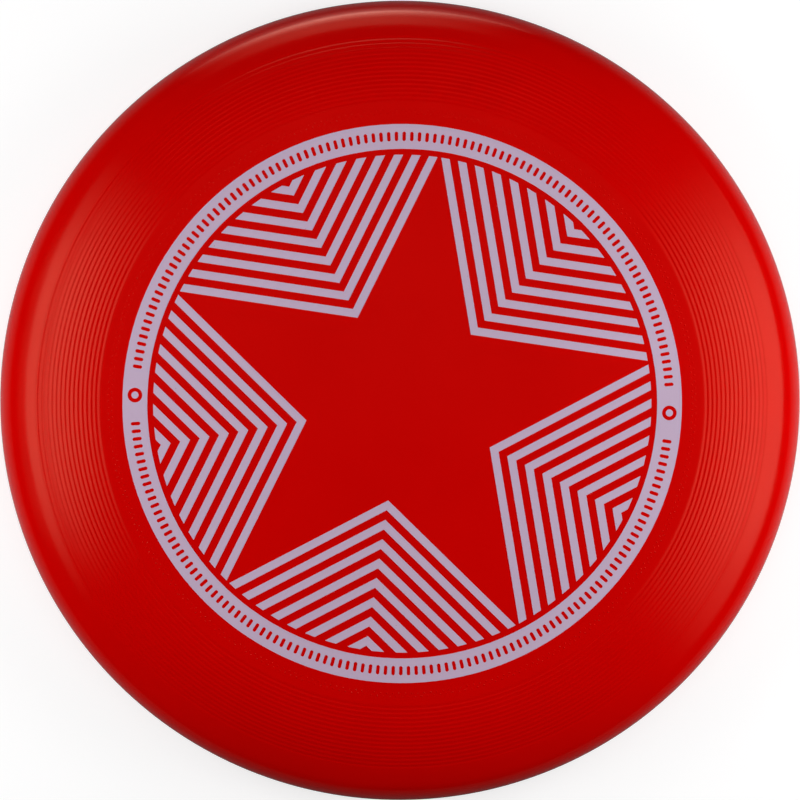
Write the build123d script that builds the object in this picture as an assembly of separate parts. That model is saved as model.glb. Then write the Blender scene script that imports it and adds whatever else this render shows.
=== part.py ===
from build123d import *
import os
from math import asin, atan2, cos, degrees, floor, hypot, pi, radians, sin, sqrt

# A flying disc for field games, lying on its lip with its printed side up.
#
# The disc is one injection moulding: a thin, slightly domed plate that runs into a curved shoulder
# with flight rings cut in it, a rounded nose and a thick rim. The only other pieces are the areas
# of foil that a hot stamp leaves on the plate: a band with ticks cut through it, a dot in each of
# its two round windows, and five panels of chevron stripes that leave a five-pointed star bare.
#
# Origin: the disc's axis, on the plane it stands on. +Z is up through the printed side.
# Slopes and turns are in degrees. A slope of 0 faces straight up, and 90 faces straight out.

# ------------------------------------------------------------------ driving sizes, in millimetres

# outside of the moulding
disc_radius = 137.0           # at the widest part of the rim
disc_height = 32.0            # from the plane it stands on to the middle of the plate
dome_radius = 3200.0          # curve of the plate
shoulder_radius = 66.3        # curve of the shoulder, between plate and nose
crease_slope = 5.5            # slope of the shoulder where it leaves the plate, in a faint crease
nose_slope = 31.5             # slope of the shoulder where the nose begins
nose_radius = 13.2            # curve of the nose, down to the widest part
lower_wall_radius = 24.0      # curve of the outer wall below the widest part
lip_outer_radius = 2.2
lip_inner_radius = 1.8

# inside of the moulding
plate_thickness = 1.7
rim_width = 6.5               # widest part to the inner wall, where that would meet the standing plane
inner_wall_draft = 1.0        # lean of that wall towards the axis
inner_fillet = 6.0            # between that wall and the underside of the shoulder

# flight rings, measured along the shoulder's curve
ring_count = 15
ring_start = 1.3              # from the crease to the middle of the first ring
ring_pitch = 1.54
ring_width = 0.95
ring_depth = 0.09

# gate well in the middle of the underside, with the cut stub of the sprue in it
well_radius = 9.0
well_depth = 0.4
well_edge = 0.6               # radial width of the well's sloping edge
stub_radius = 1.6
stub_height = 0.3

# foil
foil_thickness = 0.1
band_margin = 7.4             # bare plate outside the band
band_width = 8.4
band_gap = 2.0                # bare ring inside the band
star_points = 5
star_lean = 8.5               # turn of the star's first point, clockwise from +Y
stripe_width = 2.7
stripe_pitch = 5.4
stripe_least = 1.0            # a stripe with less room than this is left out

# windows and ticks in the band
window_count = 2
window_turn = 178.0           # turn of the first window, anticlockwise from +X
window_radius = 2.5
dot_radius = 1.2
tick_length = 3.2
tick_width = 1.2
tick_pitch = 2.6
tick_clearance = 9.7          # from a window's middle to the next tick's


# ---------------------------------------------------------------------- sizes worked out from those


def polar(centre, radius, slope):
    """The point of a circle where its outward normal has this slope."""
    return (centre[0] + radius * sin(radians(slope)), centre[1] + radius * cos(radians(slope)))


def slope_at(centre, point):
    """The slope at a point of the circle round this centre."""
    return degrees(atan2(point[0] - centre[0], point[1] - centre[1]))


def arc(centre, radius, first_slope, last_slope):
    """The stretch of a circle between two slopes."""
    slopes = (first_slope, (first_slope + last_slope) / 2, last_slope)
    return ThreePointArc(*[polar(centre, radius, slope) for slope in slopes])


def outer_crossing(centre, radius, other_centre, other_radius):
    """The point where two circles cross, on the side away from the axis."""
    apart = (other_centre[0] - centre[0], other_centre[1] - centre[1])
    distance = hypot(*apart)
    along = (radius**2 - other_radius**2 + distance**2) / (2 * distance)
    across = sqrt(radius**2 - along**2)
    return (
        centre[0] + (apart[0] * along + apart[1] * across) / distance,
        centre[1] + (apart[1] * along - apart[0] * across) / distance,
    )


# Shoulder and nose touch from inside, so their centres are in line with the point where they meet.
# The plate ends where the shoulder's first slope leaves it.
nose_width = nose_radius * (1 - sin(radians(nose_slope)))
shoulder_width = shoulder_radius * (sin(radians(nose_slope)) - sin(radians(crease_slope)))
plate_radius = disc_radius - nose_width - shoulder_width
plate_slope = degrees(asin(plate_radius / dome_radius))
dome_centre = (0.0, disc_height - dome_radius)
crease = polar(dome_centre, dome_radius, plate_slope)
shoulder_centre = polar(crease, -shoulder_radius, crease_slope)
nose_centre = polar(shoulder_centre, shoulder_radius - nose_radius, nose_slope)
widest_height = nose_centre[1]

# The lip's outer rounding touches the lower wall from inside, and the standing plane.
lower_wall_centre = (disc_radius - lower_wall_radius, widest_height)
lip_reach = lower_wall_radius - lip_outer_radius
lip_drop = widest_height - lip_outer_radius
lip_outer_centre = (lower_wall_centre[0] + sqrt(lip_reach**2 - lip_drop**2), lip_outer_radius)
lip_slope = 90 + degrees(asin(lip_drop / lip_reach))

# The lip's inner rounding touches the inner wall, which leans by its draft.
inner_wall_radius = disc_radius - rim_width
draft_cos = cos(radians(inner_wall_draft))
draft_sin = sin(radians(inner_wall_draft))
wall_slope = 90 - inner_wall_draft
lip_inner_centre = (
    inner_wall_radius + lip_inner_radius * (1 - draft_sin) / draft_cos,
    lip_inner_radius,
)

# The underside keeps the plate's thickness below the dome and the shoulder, so it has a crease too.
dome_underside = dome_radius - plate_thickness
shoulder_underside = shoulder_radius - plate_thickness
inner_crease = outer_crossing(dome_centre, dome_underside, shoulder_centre, shoulder_underside)

# The inner fillet lies against the inner wall and the underside of the shoulder, so its centre is
# a known distance from both.
fillet_reach = shoulder_underside - inner_fillet
fillet_lever = (
    (inner_wall_radius - shoulder_centre[0]) * draft_cos
    - shoulder_centre[1] * draft_sin
    - inner_fillet
)
fillet_slope = degrees(asin(fillet_lever / fillet_reach)) - inner_wall_draft
fillet_centre = polar(shoulder_centre, fillet_reach, fillet_slope)

# The print is laid out inwards from the plate's edge.
band_radius = plate_radius - band_margin
band_inner_radius = band_radius - band_width
band_middle_radius = (band_radius + band_inner_radius) / 2
panel_radius = band_inner_radius - band_gap

# A star whose edges run straight from point to point, with its points at the band's inner edge.
# Each panel is the space between two points, and its stripes run parallel to the star's edges.
star_radius = band_inner_radius
half_turn = pi / star_points
notch_radius = star_radius * cos(2 * half_turn) / cos(half_turn)
edge_angle = atan2(star_radius * sin(half_turn), star_radius * cos(half_turn) - notch_radius)
panel_depth = (panel_radius - notch_radius) * sin(edge_angle)
stripe_count = floor((panel_depth - stripe_least) / stripe_pitch) + 1


# ------------------------------------------------------------------------------------- the moulding


def shoulder_slope(along):
    """The slope of the shoulder this far along its curve from the crease."""
    return crease_slope + degrees(along / shoulder_radius)


def flight_rings():
    """The shoulder's outline: a shallow hollow for each ring, and plain shoulder between them."""
    lines = []
    reached = crease_slope
    for ring in range(ring_count):
        middle = ring_start + ring * ring_pitch
        near, far = (shoulder_slope(middle + side * ring_width / 2) for side in (-1, 1))
        lines.append(arc(shoulder_centre, shoulder_radius, reached, near))
        lines.append(
            ThreePointArc(
                polar(shoulder_centre, shoulder_radius, near),
                polar(shoulder_centre, shoulder_radius - ring_depth, shoulder_slope(middle)),
                polar(shoulder_centre, shoulder_radius, far),
            )
        )
        reached = far
    lines.append(arc(shoulder_centre, shoulder_radius, reached, nose_slope))
    return lines


def gate_well(edge_point):
    """The underside's middle: the well's sloping edge, its flat, and the stub down to the axis."""
    flat = edge_point[1] + well_depth
    return Polyline(
        edge_point,
        (well_radius - well_edge, flat),
        (stub_radius, flat),
        (stub_radius, flat - stub_height),
        (0, flat - stub_height),
    )


def disc_body():
    """The whole moulding, turned from one outline."""
    well_slope = degrees(asin(well_radius / dome_underside))
    well = gate_well(polar(dome_centre, dome_underside, well_slope))
    outline = [
        arc(dome_centre, dome_radius, 0, plate_slope),
        *flight_rings(),
        arc(nose_centre, nose_radius, nose_slope, 90),
        arc(lower_wall_centre, lower_wall_radius, 90, lip_slope),
        arc(lip_outer_centre, lip_outer_radius, lip_slope, 180),
        Line((lip_outer_centre[0], 0), (lip_inner_centre[0], 0)),
        arc(lip_inner_centre, lip_inner_radius, 180, 180 + wall_slope),
        Line(
            polar(lip_inner_centre, lip_inner_radius, 180 + wall_slope),
            polar(fillet_centre, inner_fillet, wall_slope),
        ),
        arc(fillet_centre, inner_fillet, wall_slope, fillet_slope),
        arc(
            shoulder_centre,
            shoulder_underside,
            fillet_slope,
            slope_at(shoulder_centre, inner_crease),
        ),
        arc(dome_centre, dome_underside, slope_at(dome_centre, inner_crease), well_slope),
        well,
        Line(well @ 1, (0, disc_height)),
    ]
    return revolve(Plane.XZ * make_face(Curve() + outline), Axis.Z)


# ----------------------------------------------------------------------------------------- the foil


def foil_skin():
    """A layer of foil over the whole plate, from which each printed area is cut."""
    outer = dome_radius + foil_thickness
    outline = [
        arc(dome_centre, dome_radius, 0, plate_slope),
        Line(
            polar(dome_centre, dome_radius, plate_slope),
            polar(dome_centre, outer, plate_slope),
        ),
        arc(dome_centre, outer, plate_slope, 0),
        Line((0, disc_height + foil_thickness), (0, disc_height)),
    ]
    return revolve(Plane.XZ * make_face(Curve() + outline), Axis.Z)


def stamped(flat_shape, skin):
    """The foil that a flat shape of the stamp leaves on the dome."""
    low = polar(dome_centre, dome_radius, plate_slope)[1] - 1
    high = disc_height + 1
    return extrude(Pos(0, 0, low) * flat_shape, high - low) & skin


def band_shape():
    """The band, with a round window for each dot and a row of ticks from window to window."""
    shape = Circle(band_radius) - Circle(band_inner_radius)
    window_step = 360 / window_count
    half_gap = degrees(tick_clearance / band_middle_radius)
    tick_arc = window_step - 2 * half_gap
    tick_steps = floor(radians(tick_arc) * band_middle_radius / tick_pitch)
    cuts = []
    for window in range(window_count):
        turn = window_turn + window * window_step
        cuts.append(Rot(0, 0, turn) * Pos(band_middle_radius, 0) * Circle(window_radius))
        for tick in range(tick_steps + 1):
            tick_turn = turn + half_gap + tick_arc * tick / tick_steps
            place = Rot(0, 0, tick_turn) * Pos(band_middle_radius, 0)
            cuts.append(place * SlotOverall(tick_length, tick_width))
    return shape - cuts


def dots_shape():
    """A dot in the middle of each window."""
    return Sketch() + [
        Rot(0, 0, window_turn + window * 360 / window_count)
        * Pos(band_middle_radius, 0)
        * Circle(dot_radius)
        for window in range(window_count)
    ]


def panel_shape(panel):
    """One panel's chevron stripes. The first lies along the star's edges, and the last is cut off
    by the panel's rim."""
    reach = 2 * panel_radius
    arm = (reach * cos(edge_angle), reach * sin(edge_angle))
    stripes = []
    for stripe in range(stripe_count):
        near = notch_radius + stripe * stripe_pitch / sin(edge_angle)
        far = near + stripe_width / sin(edge_angle)
        chevron = make_face(
            Polyline(
                (near, 0),
                (near + arm[0], arm[1]),
                (far + arm[0], arm[1]),
                (far, 0),
                (far + arm[0], -arm[1]),
                (near + arm[0], -arm[1]),
                close=True,
            )
        )
        stripes.append(chevron & Circle(panel_radius))
    turn = 90 - star_lean + (panel + 0.5) * 360 / star_points
    return Rot(0, 0, turn) * (Sketch() + stripes)


# ------------------------------------------------------------------------------------- the sub-parts


def main():
    skin = foil_skin()
    pieces = {
        "disc_body": disc_body(),
        "foil_band": stamped(band_shape(), skin),
        "foil_dots": stamped(dots_shape(), skin),
    }
    for panel in range(star_points):
        pieces[f"foil_panel_{panel + 1}"] = stamped(panel_shape(panel), skin)
    os.makedirs("parts", exist_ok=True)
    for name, piece in pieces.items():
        export_step(piece, f"parts/{name}.step")


main()
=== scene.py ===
from math import asin, atan2, cos, degrees, hypot, radians, sin, sqrt

import bpy
import numpy as np
from mathutils import Matrix, Vector


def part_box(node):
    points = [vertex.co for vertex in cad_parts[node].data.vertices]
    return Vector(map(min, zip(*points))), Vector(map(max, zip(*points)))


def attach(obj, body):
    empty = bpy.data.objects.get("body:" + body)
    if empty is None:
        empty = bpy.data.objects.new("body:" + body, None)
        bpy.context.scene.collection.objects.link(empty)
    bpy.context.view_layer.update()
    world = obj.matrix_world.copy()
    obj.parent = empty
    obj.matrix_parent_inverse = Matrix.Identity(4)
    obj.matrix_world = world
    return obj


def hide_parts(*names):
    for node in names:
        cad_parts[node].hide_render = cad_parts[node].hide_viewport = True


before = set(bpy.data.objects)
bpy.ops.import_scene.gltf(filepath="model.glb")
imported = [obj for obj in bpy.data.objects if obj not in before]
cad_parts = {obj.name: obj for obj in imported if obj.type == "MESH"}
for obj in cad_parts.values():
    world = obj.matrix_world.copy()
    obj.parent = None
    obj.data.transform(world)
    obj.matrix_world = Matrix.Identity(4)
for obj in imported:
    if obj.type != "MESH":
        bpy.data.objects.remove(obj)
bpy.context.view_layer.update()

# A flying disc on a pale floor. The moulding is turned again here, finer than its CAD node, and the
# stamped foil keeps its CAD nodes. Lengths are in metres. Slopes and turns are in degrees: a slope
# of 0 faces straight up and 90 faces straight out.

MM = 0.001


# ------------------------------------------------------------------------------- sizes of the disc

_, body_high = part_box("disc_body")
disc_radius = body_high.x
disc_height = body_high.z

dome_radius = 3200 * MM
shoulder_radius = 66.3 * MM
crease_slope = 5.5
crease_rounding = 0.3 * MM     # length of the rounded stretch on each side of the crease
nose_slope = 31.5
nose_radius = 13.2 * MM
lower_wall_radius = 24 * MM
lip_outer_radius = 2.2 * MM
lip_inner_radius = 1.8 * MM

plate_thickness = 1.7 * MM
rim_width = 6.5 * MM
inner_wall_draft = 1.0
inner_fillet = 6 * MM

ring_count = 15
ring_start = 1.32 * MM         # along the shoulder, from the crease to the first ring's lowest line
ring_pitch = 1.54 * MM
ring_depth = 0.115 * MM        # of the first ring; the outer ones are shallower
ring_taper = 0.32              # share of the depth that the last ring lacks
ring_fall = 0.65               # share of the pitch that falls outward; the rest rises again

dot_row_radii = (98.6 * MM, 99.7 * MM)
dots_in_row = 290
dot_radius = 0.3 * MM
dot_height = 0.07 * MM
dot_depth = 0.1 * MM           # how far a dot's skirt is sunk in the moulding
dot_reach = (0.0, 0.35, 0.7, 1.0)    # shares of the dot's radius where its dome has points

well_radius = 9 * MM
well_depth = 0.4 * MM
well_edge = 0.6 * MM
stub_radius = 1.6 * MM
stub_height = 0.3 * MM

turn_steps = 256               # round the axis
dome_steps = 26
ring_steps = 12                # across each ring's pitch
arc_steps = 14                 # along each plain arc
corner_steps = 6               # along the rounded crease
dot_steps = 10                 # round each raised dot


# ------------------------------------------------------------------------ outline of the moulding


def polar(centre, radius, slope):
    """The point of a circle where its outward normal has this slope."""
    return np.array([
        centre[0] + radius * sin(radians(slope)),
        centre[1] + radius * cos(radians(slope)),
    ])


def slope_at(centre, point):
    """The slope at a point of the circle round this centre."""
    return degrees(atan2(point[0] - centre[0], point[1] - centre[1]))


def arc(centre, radius, first, last, steps=arc_steps):
    """Points of a circle: the centre plus the radius times the sine and the cosine of an evenly
    growing slope."""
    slope = np.radians(np.linspace(first, last, steps + 1))
    return np.column_stack([
        centre[0] + radius * np.sin(slope),
        centre[1] + radius * np.cos(slope),
    ])


def outer_crossing(centre, radius, other_centre, other_radius):
    """The point where two circles cross, on the side away from the axis."""
    apart = (other_centre[0] - centre[0], other_centre[1] - centre[1])
    distance = hypot(*apart)
    along = (radius**2 - other_radius**2 + distance**2) / (2 * distance)
    across = sqrt(radius**2 - along**2)
    return np.array([
        centre[0] + (apart[0] * along + apart[1] * across) / distance,
        centre[1] + (apart[1] * along - apart[0] * across) / distance,
    ])


def rounded_corner(before, corner, after):
    """A parabola from one point to another that leaves and arrives along the lines to the corner:
    the blend of the three points with weights (1-t)^2, 2t(1-t) and t^2."""
    t = np.linspace(0, 1, corner_steps + 1)[:, None]
    return (1 - t) ** 2 * before + 2 * t * (1 - t) * corner + t**2 * after


def ringed_shoulder(centre):
    """The shoulder's arc with the flight rings as a lopsided wave. In each pitch the radius first
    loses depth times (1 - cosine) / 2 over the falling share, then gains it back over the rest.
    The depth falls by the taper times the square of the way along the rings."""
    first = ring_start - ring_fall * ring_pitch
    last = first + ring_count * ring_pitch
    whole = radians(nose_slope - crease_slope) * shoulder_radius
    along = np.concatenate([
        [crease_rounding],
        np.linspace(first, last, ring_count * ring_steps + 1),
        np.linspace(last, whole, arc_steps)[1:],
    ])
    phase = (along - first) / ring_pitch % 1
    turn = np.where(phase < ring_fall, phase / ring_fall, (1 - phase) / (1 - ring_fall))
    ringed = (along > first) & (along < last)
    depth = ring_depth * (1 - ring_taper * (along / last) ** 2)
    radius = shoulder_radius - np.where(ringed, depth / 2 * (1 - np.cos(np.pi * turn)), 0)
    slope = radians(crease_slope) + along / shoulder_radius
    return np.column_stack([
        centre[0] + radius * np.sin(slope),
        centre[1] + radius * np.cos(slope),
    ])


def moulding_outline():
    """Radius and height of the outline's points, from the top's middle out, round the lip and back
    to the underside's middle. Each arc's centre follows from the ones it touches."""
    nose_width = nose_radius * (1 - sin(radians(nose_slope)))
    shoulder_width = shoulder_radius * (sin(radians(nose_slope)) - sin(radians(crease_slope)))
    plate_radius = disc_radius - nose_width - shoulder_width
    plate_slope = degrees(asin(plate_radius / dome_radius))
    dome = (0.0, disc_height - dome_radius)
    crease = polar(dome, dome_radius, plate_slope)
    shoulder = polar(crease, -shoulder_radius, crease_slope)
    nose = polar(shoulder, shoulder_radius - nose_radius, nose_slope)

    rounding_slope = degrees(crease_rounding / dome_radius)
    dome_top = arc(dome, dome_radius, 0, plate_slope - rounding_slope, dome_steps)
    shoulder_top = ringed_shoulder(shoulder)
    crease_top = rounded_corner(dome_top[-1], crease, shoulder_top[0])

    lower_wall = (disc_radius - lower_wall_radius, nose[1])
    reach = lower_wall_radius - lip_outer_radius
    drop = nose[1] - lip_outer_radius
    outer_lip = (lower_wall[0] + sqrt(reach**2 - drop**2), lip_outer_radius)
    lip_slope = 90 + degrees(asin(drop / reach))

    wall_slope = 90 - inner_wall_draft
    draft_cos = cos(radians(inner_wall_draft))
    draft_sin = sin(radians(inner_wall_draft))
    inner_wall_radius = disc_radius - rim_width
    inner_lip = (
        inner_wall_radius + lip_inner_radius * (1 - draft_sin) / draft_cos,
        lip_inner_radius,
    )
    dome_underside = dome_radius - plate_thickness
    shoulder_underside = shoulder_radius - plate_thickness
    inner_crease = outer_crossing(dome, dome_underside, shoulder, shoulder_underside)
    lever = (inner_wall_radius - shoulder[0]) * draft_cos - shoulder[1] * draft_sin - inner_fillet
    fillet_slope = degrees(asin(lever / (shoulder_underside - inner_fillet))) - inner_wall_draft
    fillet = polar(shoulder, shoulder_underside - inner_fillet, fillet_slope)

    well_slope = degrees(asin(well_radius / dome_underside))
    well_rim = polar(dome, dome_underside, well_slope)
    flat = well_rim[1] + well_depth
    stub = flat - stub_height
    middle = [
        (well_radius - well_edge, flat),
        (stub_radius, flat),
        (stub_radius, stub),
        (0.0, stub),
    ]
    inner_slope = slope_at(shoulder, inner_crease)
    stretches = [
        dome_top,
        crease_top[1:],
        shoulder_top[1:],
        arc(nose, nose_radius, nose_slope, 90, 2 * arc_steps)[1:],
        arc(lower_wall, lower_wall_radius, 90, lip_slope, arc_steps)[1:],
        arc(outer_lip, lip_outer_radius, lip_slope, 180, arc_steps)[1:],
        arc(inner_lip, lip_inner_radius, 180, 180 + wall_slope),
        arc(fillet, inner_fillet, wall_slope, fillet_slope),
        arc(shoulder, shoulder_underside, fillet_slope, inner_slope)[1:],
        arc(dome, dome_underside, slope_at(dome, inner_crease), well_slope, dome_steps)[1:],
        np.array(middle),
    ]
    return np.concatenate(stretches)


# --------------------------------------------------------------------------------------- meshes


def add_mesh(name, vertices, faces, smooth=True):
    """A mesh object at the origin, from arrays of vertices and lists of faces."""
    mesh = bpy.data.meshes.new(name)
    mesh.from_pydata(vertices.tolist(), [], faces)
    if smooth:
        mesh.shade_smooth()
    mesh.update()
    piece = bpy.data.objects.new(name, mesh)
    bpy.context.scene.collection.objects.link(piece)
    return piece


def grid_quads(index, wrapped):
    """Four-sided faces between neighbouring rows and columns of a grid of vertex numbers."""
    beside = np.roll(index, -1, axis=1)
    if not wrapped:
        index, beside = index[:, :-1], beside[:, :-1]
    quads = np.stack([index[:-1], index[1:], beside[1:], beside[:-1]], axis=-1)
    return quads.reshape(-1, 4)


def turned(name, outline):
    """A solid of revolution: the point in row i and column j is outline point i, turned about the
    axis by j equal steps. The outline's ends are on the axis and become single points."""
    angle = 2 * np.pi * np.arange(turn_steps) / turn_steps
    radius, height = outline[1:-1, :1], outline[1:-1, 1:]
    x = radius * np.cos(angle)
    y = radius * np.sin(angle)
    z = height + np.zeros(turn_steps)
    ends = np.array([[0, 0, outline[0, 1]], [0, 0, outline[-1, 1]]])
    vertices = np.concatenate([np.stack([x, y, z], axis=-1).reshape(-1, 3), ends])
    index = np.arange(x.size).reshape(x.shape)
    beside = np.roll(index, -1, axis=1)
    quads = grid_quads(index, True).tolist()
    top = np.full(turn_steps, x.size)
    top_fan = np.column_stack([top, index[0], beside[0]]).tolist()
    bottom_fan = np.column_stack([top + 1, beside[-1], index[-1]]).tolist()
    return add_mesh(name, vertices, quads + top_fan + bottom_fan)


def raised_dots(name):
    """Rows of low round dots moulded on the plate: each is a dome whose height falls with the
    distance t from its middle as (1 - t^2)^2, with a skirt sunk in the plate below it. The domes
    are stood on the plate's curve in even turns about the axis, every second row by half a turn."""
    reach = np.array(dot_reach)
    rise = dot_height * (1 - reach**2) ** 2
    reach = np.append(reach, [1.0, 0.0])
    rise = np.append(rise, [-dot_depth, -dot_depth])
    angle = 2 * np.pi * np.arange(dot_steps) / dot_steps
    rings = len(reach) - 2
    x = (dot_radius * reach[1:-1, None] * np.cos(angle)).ravel()
    y = (dot_radius * reach[1:-1, None] * np.sin(angle)).ravel()
    z = np.repeat(rise[1:-1], dot_steps)
    x, y, z = np.append(x, [0, 0]), np.append(y, [0, 0]), np.append(z, [rise[0], rise[-1]])
    index = np.arange(rings * dot_steps).reshape(rings, dot_steps)
    beside = np.roll(index, -1, axis=1)
    pole = np.full(dot_steps, index.size)
    faces = np.concatenate([
        grid_quads(index, True),
        np.column_stack([pole, index[0], beside[0], pole]),
        np.column_stack([pole + 1, beside[-1], index[-1], pole + 1]),
    ])
    row_radius = np.repeat(dot_row_radii, dots_in_row)[:, None]
    row = np.repeat(np.arange(len(dot_row_radii)), dots_in_row)[:, None]
    place = np.tile(np.arange(dots_in_row), len(dot_row_radii))[:, None]
    turn = 2 * np.pi * (place + row / 2) / dots_in_row
    stand = disc_height - dome_radius + np.sqrt(dome_radius**2 - row_radius**2)
    across = row_radius + x
    vertices = np.stack([
        across * np.cos(turn) - y * np.sin(turn),
        across * np.sin(turn) + y * np.cos(turn),
        stand + z - x * row_radius / dome_radius,
    ], axis=-1).reshape(-1, 3)
    first = np.arange(len(turn))[:, None, None] * len(x)
    all_faces = (faces + first).reshape(-1, 4)
    return add_mesh(name, vertices, [list(dict.fromkeys(face)) for face in all_faces.tolist()])


# ------------------------------------------------------------------------------- shader node groups


def new_group(name, inputs, outputs):
    """An empty node group with these sockets. Returns it with its input and output nodes."""
    group = bpy.data.node_groups.new(name, "ShaderNodeTree")
    for label, kind, value in inputs:
        socket = group.interface.new_socket(label, in_out="INPUT", socket_type=kind)
        if value is not None:
            socket.default_value = value
    for label, kind in outputs:
        group.interface.new_socket(label, in_out="OUTPUT", socket_type=kind)
    return group, group.nodes.new("NodeGroupInput"), group.nodes.new("NodeGroupOutput")


def add_node(tree, kind, links=(), **settings):
    """A node with its properties set, and its inputs linked or set by name or number."""
    node = tree.nodes.new(kind)
    for key, value in settings.items():
        setattr(node, key, value)
    for key, value in dict(links).items():
        if isinstance(value, bpy.types.NodeSocket):
            tree.links.new(value, node.inputs[key])
        else:
            node.inputs[key].default_value = value
    return node


def combine(tree, operation, first, second=0.0):
    """The result of one Math node on two sockets or numbers."""
    return add_node(tree, "ShaderNodeMath", {0: first, 1: second}, operation=operation).outputs[0]


def sum_of(tree, *terms):
    """The sum of (socket, factor) terms."""
    total = 0.0
    for socket, factor in terms:
        step = add_node(
            tree, "ShaderNodeMath", {0: socket, 1: factor, 2: total}, operation="MULTIPLY_ADD"
        )
        total = step.outputs[0]
    return total


def product_of(tree, *factors):
    """The product of sockets and numbers."""
    total = 1.0
    for factor in factors:
        total = combine(tree, "MULTIPLY", total, factor)
    return total


def noise(tree, links, **settings):
    """A Noise texture's grey value."""
    return add_node(tree, "ShaderNodeTexNoise", links, **settings).outputs["Fac"]


def length_of(tree, vector):
    """How far a place is from the origin."""
    node = add_node(tree, "ShaderNodeVectorMath", {0: vector}, operation="LENGTH")
    return node.outputs["Value"]


def map_range(tree, value, low, high, to_low, to_high):
    """A value carried from one range to another."""
    node = add_node(
        tree,
        "ShaderNodeMapRange",
        {"Value": value, "From Min": low, "From Max": high, "To Min": to_low, "To Max": to_high},
    )
    return node.outputs["Result"]


def blend_colours(tree, factor, first, second):
    """A mix of two colours, of colour sockets or of one of each, by a mask."""
    mix = add_node(
        tree, "ShaderNodeMix", {"Factor": factor, "A": first, "B": second}, data_type="RGBA"
    )
    return mix.outputs["Result"]


def moulded_grain():
    """The skin that a blasted mould leaves on plastic: a fine grain and slow waves, as a height in
    metres, and a tone from 0 to 1 for uneven colour and gloss."""
    waves_per_metre, clouds_per_metre = 90.0, 28.0
    cloud_share = 0.7
    group, given, result = new_group(
        "moulded_grain",
        [
            ("Vector", "NodeSocketVector", None),
            ("Grain Size", "NodeSocketFloat", 0.3 * MM),
            ("Grain Height", "NodeSocketFloat", 0.002 * MM),
            ("Wave Height", "NodeSocketFloat", 0.01 * MM),
        ],
        [("Height", "NodeSocketFloat"), ("Tone", "NodeSocketFloat")],
    )
    place = given.outputs["Vector"]
    grains_per_metre = combine(group, "DIVIDE", 1.0, given.outputs["Grain Size"])
    grain = noise(group, {"Vector": place, "Scale": grains_per_metre, "Detail": 2.0})
    wave = noise(group, {"Vector": place, "Scale": waves_per_metre, "Detail": 1.0})
    cloud = noise(
        group, {"Vector": place, "Scale": clouds_per_metre, "Detail": 4.0, "Roughness": 0.6}
    )
    height = sum_of(
        group,
        (grain, given.outputs["Grain Height"]),
        (wave, given.outputs["Wave Height"]),
    )
    tone = sum_of(group, (cloud, cloud_share), (grain, 1 - cloud_share))
    group.links.new(height, result.inputs["Height"])
    group.links.new(tone, result.inputs["Tone"])
    return group


def turning_marks():
    """The fine circles that a lathe leaves in a mould, as a height in metres: a wave over the
    distance from the axis, with an uneven pitch, that fades in and out round the circle."""
    patches_per_metre = 14.0
    group, given, result = new_group(
        "turning_marks",
        [
            ("Vector", "NodeSocketVector", None),
            ("Pitch", "NodeSocketFloat", 0.4 * MM),
            ("Mark Height", "NodeSocketFloat", 0.001 * MM),
        ],
        [("Height", "NodeSocketFloat")],
    )
    place = given.outputs["Vector"]
    flat = add_node(
        group, "ShaderNodeVectorMath", {0: place, 1: (1, 1, 0)}, operation="MULTIPLY"
    ).outputs["Vector"]
    cycles = combine(group, "DIVIDE", length_of(group, flat), given.outputs["Pitch"])
    lines = noise(group, {"W": cycles, "Scale": 1.0, "Detail": 2.0}, noise_dimensions="1D")
    patches = noise(group, {"Vector": place, "Scale": patches_per_metre})
    height = product_of(group, lines, patches, given.outputs["Mark Height"])
    group.links.new(height, result.inputs["Height"])
    return group


def specks():
    """Scattered round specks as a mask: near the middles of a few of a pattern's random cells."""
    group, given, result = new_group(
        "specks",
        [
            ("Vector", "NodeSocketVector", None),
            ("Spacing", "NodeSocketFloat", 2 * MM),
            ("Speck Size", "NodeSocketFloat", 0.08),
            ("Share", "NodeSocketFloat", 0.1),
        ],
        [("Mask", "NodeSocketFloat")],
    )
    cells_per_metre = combine(group, "DIVIDE", 1.0, given.outputs["Spacing"])
    cells = add_node(
        group,
        "ShaderNodeTexVoronoi",
        {"Vector": given.outputs["Vector"], "Scale": cells_per_metre},
    )
    near = combine(group, "LESS_THAN", cells.outputs["Distance"], given.outputs["Speck Size"])
    chance = add_node(group, "ShaderNodeSeparateColor", {"Color": cells.outputs["Color"]})
    chosen = combine(group, "LESS_THAN", chance.outputs["Red"], given.outputs["Share"])
    group.links.new(combine(group, "MULTIPLY", near, chosen), result.inputs["Mask"])
    return group


# --------------------------------------------------------------------------------------- materials


tone_range = (0.3, 0.7)        # the part of the grain's tone that colour and gloss follow

red_polyethylene = {
    "grain": {"Grain Size": 0.35 * MM, "Grain Height": 0.0012 * MM, "Wave Height": 0.02 * MM},
    "marks": {"Pitch": 0.5 * MM, "Mark Height": 0.0015 * MM},
    "specks": {"Spacing": 6 * MM, "Speck Size": 0.02, "Share": 0.1},
    "colours": ((0.73, 0.0002, 0.0001, 1), (0.775, 0.0003, 0.0002, 1)),
    "speck_colour": (0.62, 0.03, 0.025, 1),
    "roughness": (0.095, 0.125),
    "specular_tint": (1.0, 0.4, 0.25, 1),
}
lilac_foil = {
    "grain": {"Grain Size": 0.3 * MM, "Grain Height": 0.003 * MM, "Wave Height": 0.01 * MM},
    "marks": {"Pitch": 0.5 * MM, "Mark Height": 0.0015 * MM},
    "specks": {"Spacing": 2.2 * MM, "Speck Size": 0.05, "Share": 0.06},
    "colours": ((0.655, 0.49, 0.66, 1), (0.69, 0.517, 0.697, 1)),
    "speck_colour": (0.3, 0.08, 0.12, 1),
    "roughness": (0.34, 0.42),
    "specular_tint": (1, 1, 1, 1),
}


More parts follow.
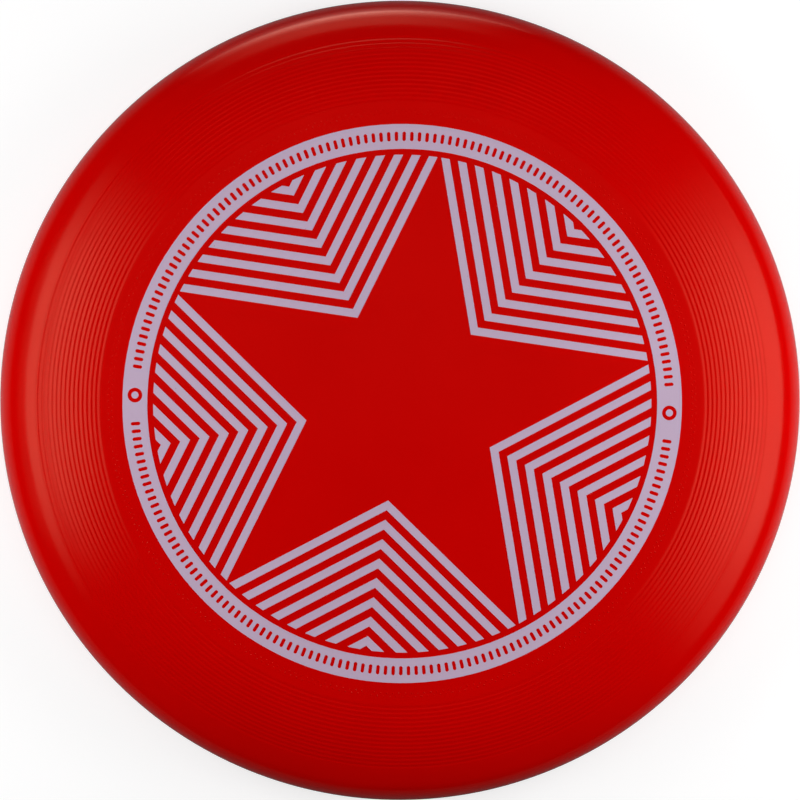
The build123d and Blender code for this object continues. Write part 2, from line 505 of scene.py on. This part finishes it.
def satin_material(name, look, groups):
    """A satin surface with a moulded grain, faint turning marks, slightly uneven colour and gloss,
    and a few specks: dust in the plastic, and pinholes in the foil that show the red under it."""
    grain, marks, dust = groups
    material = bpy.data.materials.new(name)
    material.use_nodes = True
    tree = material.node_tree
    shader = tree.nodes["Principled BSDF"]
    place = {"Vector": add_node(tree, "ShaderNodeTexCoord").outputs["Object"]}
    skin = add_node(tree, "ShaderNodeGroup", place | look["grain"], node_tree=grain)
    circles = add_node(tree, "ShaderNodeGroup", place | look["marks"], node_tree=marks)
    bits = add_node(tree, "ShaderNodeGroup", place | look["specks"], node_tree=dust)
    tone = map_range(tree, skin.outputs["Tone"], *tone_range, 0, 1)
    plain = blend_colours(tree, tone, *look["colours"])
    colour = blend_colours(tree, bits.outputs["Mask"], plain, look["speck_colour"])
    gloss = map_range(tree, skin.outputs["Tone"], *tone_range, *look["roughness"])
    height = sum_of(tree, (skin.outputs["Height"], 1.0), (circles.outputs["Height"], 1.0))
    relief = add_node(
        tree, "ShaderNodeBump", {"Height": height, "Strength": 1.0, "Distance": 1.0}
    )
    tree.links.new(colour, shader.inputs["Base Color"])
    tree.links.new(gloss, shader.inputs["Roughness"])
    tree.links.new(relief.outputs["Normal"], shader.inputs["Normal"])
    shader.inputs["IOR"].default_value = 1.5
    shader.inputs["Specular Tint"].default_value = look["specular_tint"]
    return material


# ----------------------------------------------------------------------------------------- the disc


def dress(piece, material):
    """Gives a piece one material."""
    piece.data.materials.clear()
    piece.data.materials.append(material)


def make_disc():
    """The turned moulding in place of its CAD node, and the foil nodes in their finish."""
    groups = moulded_grain(), turning_marks(), specks()
    plastic = satin_material("red_polyethylene", red_polyethylene, groups)
    moulding = turned("turned_moulding", moulding_outline())
    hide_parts("disc_body")
    for piece in (moulding, raised_dots("plate_dots")):
        dress(piece, plastic)
        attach(piece, "root")
    foil = satin_material("lilac_foil", lilac_foil, groups)
    for name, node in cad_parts.items():
        if name.startswith("foil_"):
            dress(node, foil)


# --------------------------------------------------------------------------------- floor and light


def grey(level):
    """A grey as a colour."""
    return (level, level, level, 1)


def plain_material(name):
    """A material with only an output node. Returns it with its tree and the output's surface."""
    material = bpy.data.materials.new(name)
    material.use_nodes = True
    tree = material.node_tree
    tree.nodes.clear()
    return material, tree, add_node(tree, "ShaderNodeOutputMaterial").inputs["Surface"]


floor_radius = 14.0
floor_steps = 96
seen_glow, seen_grey = 0.72, 0.4   # how the camera sees the floor
near_edge, far_edge = 0.15, 0.24   # distances from the axis where, for the rest, painted light gives way to painted shade: from one grey to the other
near_painted_light_grey, far_painted_shade_grey = 0.62, 0.19   # goes from one grey to the other
north_edges = (0.08, 0.16)         # along Y, where painted shade darkens it towards the window
north_painted_shade_share = 0.5
south_edges = (-0.15, -0.04)       # along Y, where painted shade darkens it away from the window
south_painted_shade_grey = 0.18
sheen_turn = 96                    # heading of the window's light on the floor
sheen_fade = (3, 28)               # how far to each side that light starts and ends to fade
sheen_edges = (0.168, 0.4)         # distances from the axis where it grows
sheen_glow = 6.4


def add_floor():
    """A wide round floor on the plane that the disc stands on, with a paler look for the camera
    than for what it lights and what reflects it. For these it has painted light and shade: paler
    near the disc, and darker farther out, towards the window and away from it. The gloss also sees
    the window's light on it, painted on as a glow."""
    angle = 2 * np.pi * np.arange(floor_steps) / floor_steps
    rim = np.column_stack([floor_radius * np.cos(angle), floor_radius * np.sin(angle), 0 * angle])
    floor = add_mesh("floor", rim, [list(range(floor_steps))], smooth=False)
    material, tree, surface = plain_material("floor_paper")
    ray = add_node(tree, "ShaderNodeLightPath").outputs
    glow = add_node(tree, "ShaderNodeEmission", {"Color": grey(1), "Strength": seen_glow})
    pale = add_node(tree, "ShaderNodeBsdfDiffuse", {"Color": grey(seen_grey)})
    seen = add_node(tree, "ShaderNodeAddShader", {0: glow.outputs[0], 1: pale.outputs[0]})

    place = add_node(tree, "ShaderNodeTexCoord").outputs["Object"]
    parts = add_node(tree, "ShaderNodeSeparateXYZ", {0: place}).outputs
    far = length_of(tree, place)
    # Painted light and shade for what the floor lights and what reflects it: paler near the disc,
    # darker farther out and towards the window.
    tone = product_of(
        tree,
        map_range(tree, far, near_edge, far_edge, near_painted_light_grey, far_painted_shade_grey),
        # painted shade: darker towards the window
        map_range(tree, parts["Y"], *north_edges, 1, north_painted_shade_share),
    )
    # Painted shade away from the window: towards -Y the floor turns to the darker south grey.
    lit = map_range(tree, parts["Y"], *south_edges, 0, 1)
    shade = blend_colours(tree, lit, grey(south_painted_shade_grey), tone)
    paper = add_node(tree, "ShaderNodeBsdfDiffuse", {"Color": shade})

    heading = combine(tree, "ARCTAN2", parts["Y"], parts["X"])
    aside = combine(tree, "ABSOLUTE", combine(tree, "SUBTRACT", heading, radians(sheen_turn)))
    window_light = product_of(
        tree,
        ray["Is Glossy Ray"],
        map_range(tree, aside, *np.radians(sheen_fade), 1, 0),
        map_range(tree, far, *sheen_edges, 0, sheen_glow),
    )
    sheen = add_node(tree, "ShaderNodeEmission", {"Strength": window_light})
    unseen = add_node(tree, "ShaderNodeAddShader", {0: paper.outputs[0], 1: sheen.outputs[0]})
    mix = add_node(
        tree,
        "ShaderNodeMixShader",
        {0: ray["Is Camera Ray"], 1: unseen.outputs[0], 2: seen.outputs[0]},
    )
    tree.links.new(mix.outputs[0], surface)
    dress(floor, material)


faint_surround, seen_surround = 0.13, 0.82


def add_world():
    """A pale surround for the camera, and a faint one for everything else."""
    world = bpy.data.worlds.new("surround")
    bpy.context.scene.world = world
    world.use_nodes = True
    tree = world.node_tree
    tree.nodes.clear()
    output = add_node(tree, "ShaderNodeOutputWorld")
    seen = add_node(tree, "ShaderNodeLightPath").outputs["Is Camera Ray"]
    strength = map_range(tree, seen, 0, 1, faint_surround, seen_surround)
    surround = add_node(tree, "ShaderNodeBackground", {"Color": grey(1), "Strength": strength})
    tree.links.new(surround.outputs[0], output.inputs["Surface"])
    world.cycles_visibility.glossy = False


def smooth_step(value, low, high):
    """0 below low, 1 above high, and an even S-curve between."""
    t = np.clip((value - low) / (high - low), 0, 1)
    return t * t * (3 - 2 * t)


# Lights, by heading (0 is towards +X, 90 towards +Y) and height above the floor.
softboxes = [
    # name, heading, height, distance, width, length, watts
    ("softbox_right", 0, 28, 0.5, 0.4, 0.2, 1.4),
    ("softbox_left", 180, 32, 0.5, 0.4, 0.2, 1.05),
    ("softbox_north", 95, 15, 1.0, 0.6, 0.4, 0.32),
    ("softbox_top", 90, 76, 0.8, 0.5, 0.5, 0.9),
]
scrims = [
    # name, distance, heading, half width, fade at each side, heights of the lowest and highest
    # row, heights between which the glow falls, share of it left above them, full glow
    ("scrim_right", 0.6, -3, 43, 32, (20, 76), (36, 76), 0.0, 2.05),
    ("scrim_left", 0.6, 177, 40, 30, (26.5, 76), (38, 76), 0.0, 2.3),
    ("window", 1.6, 97, 28, 24, (0.3, 28.5), (-6, 20), 0.2, 6.0),
]
scrim_rows, scrim_columns = 49, 65


def add_scrim(name, distance, turn, half_turn, fade, heights, fall, dim, strength):
    """A lit curved screen that only reflections see: part of a sphere round the disc, with rows
    from one height above the floor to another, in degrees, and columns from side to side. Its
    glow fades out towards both sides, and falls to the dim share between two heights."""
    low, high = heights
    height = np.radians(np.linspace(high, low, scrim_rows))[:, None]
    across = np.linspace(-half_turn, half_turn, scrim_columns)[None, :]
    heading = np.radians(turn + across)
    x = distance * np.cos(height) * np.cos(heading)
    y = distance * np.cos(height) * np.sin(heading)
    z = distance * np.sin(height) + 0 * across
    index = np.arange(x.size).reshape(x.shape)
    vertices = np.stack([x, y, z], axis=-1).reshape(-1, 3)
    scrim = add_mesh(name, vertices, grid_quads(index, False).tolist())
    glow = 1 - smooth_step(np.abs(across), half_turn - fade, half_turn)
    glow = glow * (1 - (1 - dim) * smooth_step(np.degrees(height), *fall))
    layer = scrim.data.attributes.new("glow", "FLOAT", "POINT")
    layer.data.foreach_set("value", glow.astype(np.float32).ravel())
    material, tree, surface = plain_material(name)
    level = add_node(tree, "ShaderNodeAttribute", attribute_name="glow").outputs["Fac"]
    power = product_of(tree, level, strength)
    light = add_node(tree, "ShaderNodeEmission", {"Strength": power})
    tree.links.new(light.outputs[0], surface)
    dress(scrim, material)
    scrim.visible_camera = False
    scrim.visible_diffuse = False
    scrim.visible_shadow = False
    scrim.visible_transmission = False


def add_softbox(name, turn, height, distance, width, length, power):
    """A rectangular light that faces the disc, unseen by the camera and by reflections."""
    data = bpy.data.lights.new(name, "AREA")
    data.shape = "RECTANGLE"
    data.size, data.size_y = width, length
    data.energy = power
    softbox = bpy.data.objects.new(name, data)
    bpy.context.scene.collection.objects.link(softbox)
    a, e = radians(turn), radians(height)
    way = Vector((cos(a) * cos(e), sin(a) * cos(e), sin(e)))
    softbox.location = way * distance
    softbox.rotation_mode = "QUATERNION"
    softbox.rotation_quaternion = way.to_track_quat("Z", "Y")
    softbox.visible_camera = False
    softbox.visible_glossy = False


camera_distance = 2.4
camera_lean_x, camera_lean_y = radians(-1.71), radians(2.57)
camera_target = Vector((-0.21, 0.42, 9.64)) * MM
sensor_width = 36
nearest_seen, farthest_seen = 0.1, 60


def add_camera():
    """A long lens nearly straight above the disc, with +Y up in the picture. It stands a little
    towards -X and +Y, and the disc's rim fills the frame from edge to edge."""
    back = Vector((sin(camera_lean_x), sin(camera_lean_y), 1)).normalized()
    right = Vector((0, 1, 0)).cross(back).normalized()
    up = back.cross(right)
    data = bpy.data.cameras.new("camera")
    camera = bpy.data.objects.new("camera", data)
    bpy.context.scene.collection.objects.link(camera)
    turn = Matrix((right, up, back)).transposed().to_4x4()
    camera.matrix_world = Matrix.Translation(camera_target + back * camera_distance) @ turn
    data.sensor_width = sensor_width
    data.lens = sensor_width / 2 * camera_distance / disc_radius
    data.clip_start, data.clip_end = nearest_seen, farthest_seen
    bpy.context.scene.camera = camera


def add_light():
    """Softboxes at the sides, to the north and above, which light the disc, and the scrims and the
    low window that its gloss shows."""
    for softbox in softboxes:
        add_softbox(*softbox)
    for scrim in scrims:
        add_scrim(*scrim)


make_disc()
add_camera()
add_floor()
add_world()
add_light()
bpy.context.scene.view_settings.view_transform = "Standard"
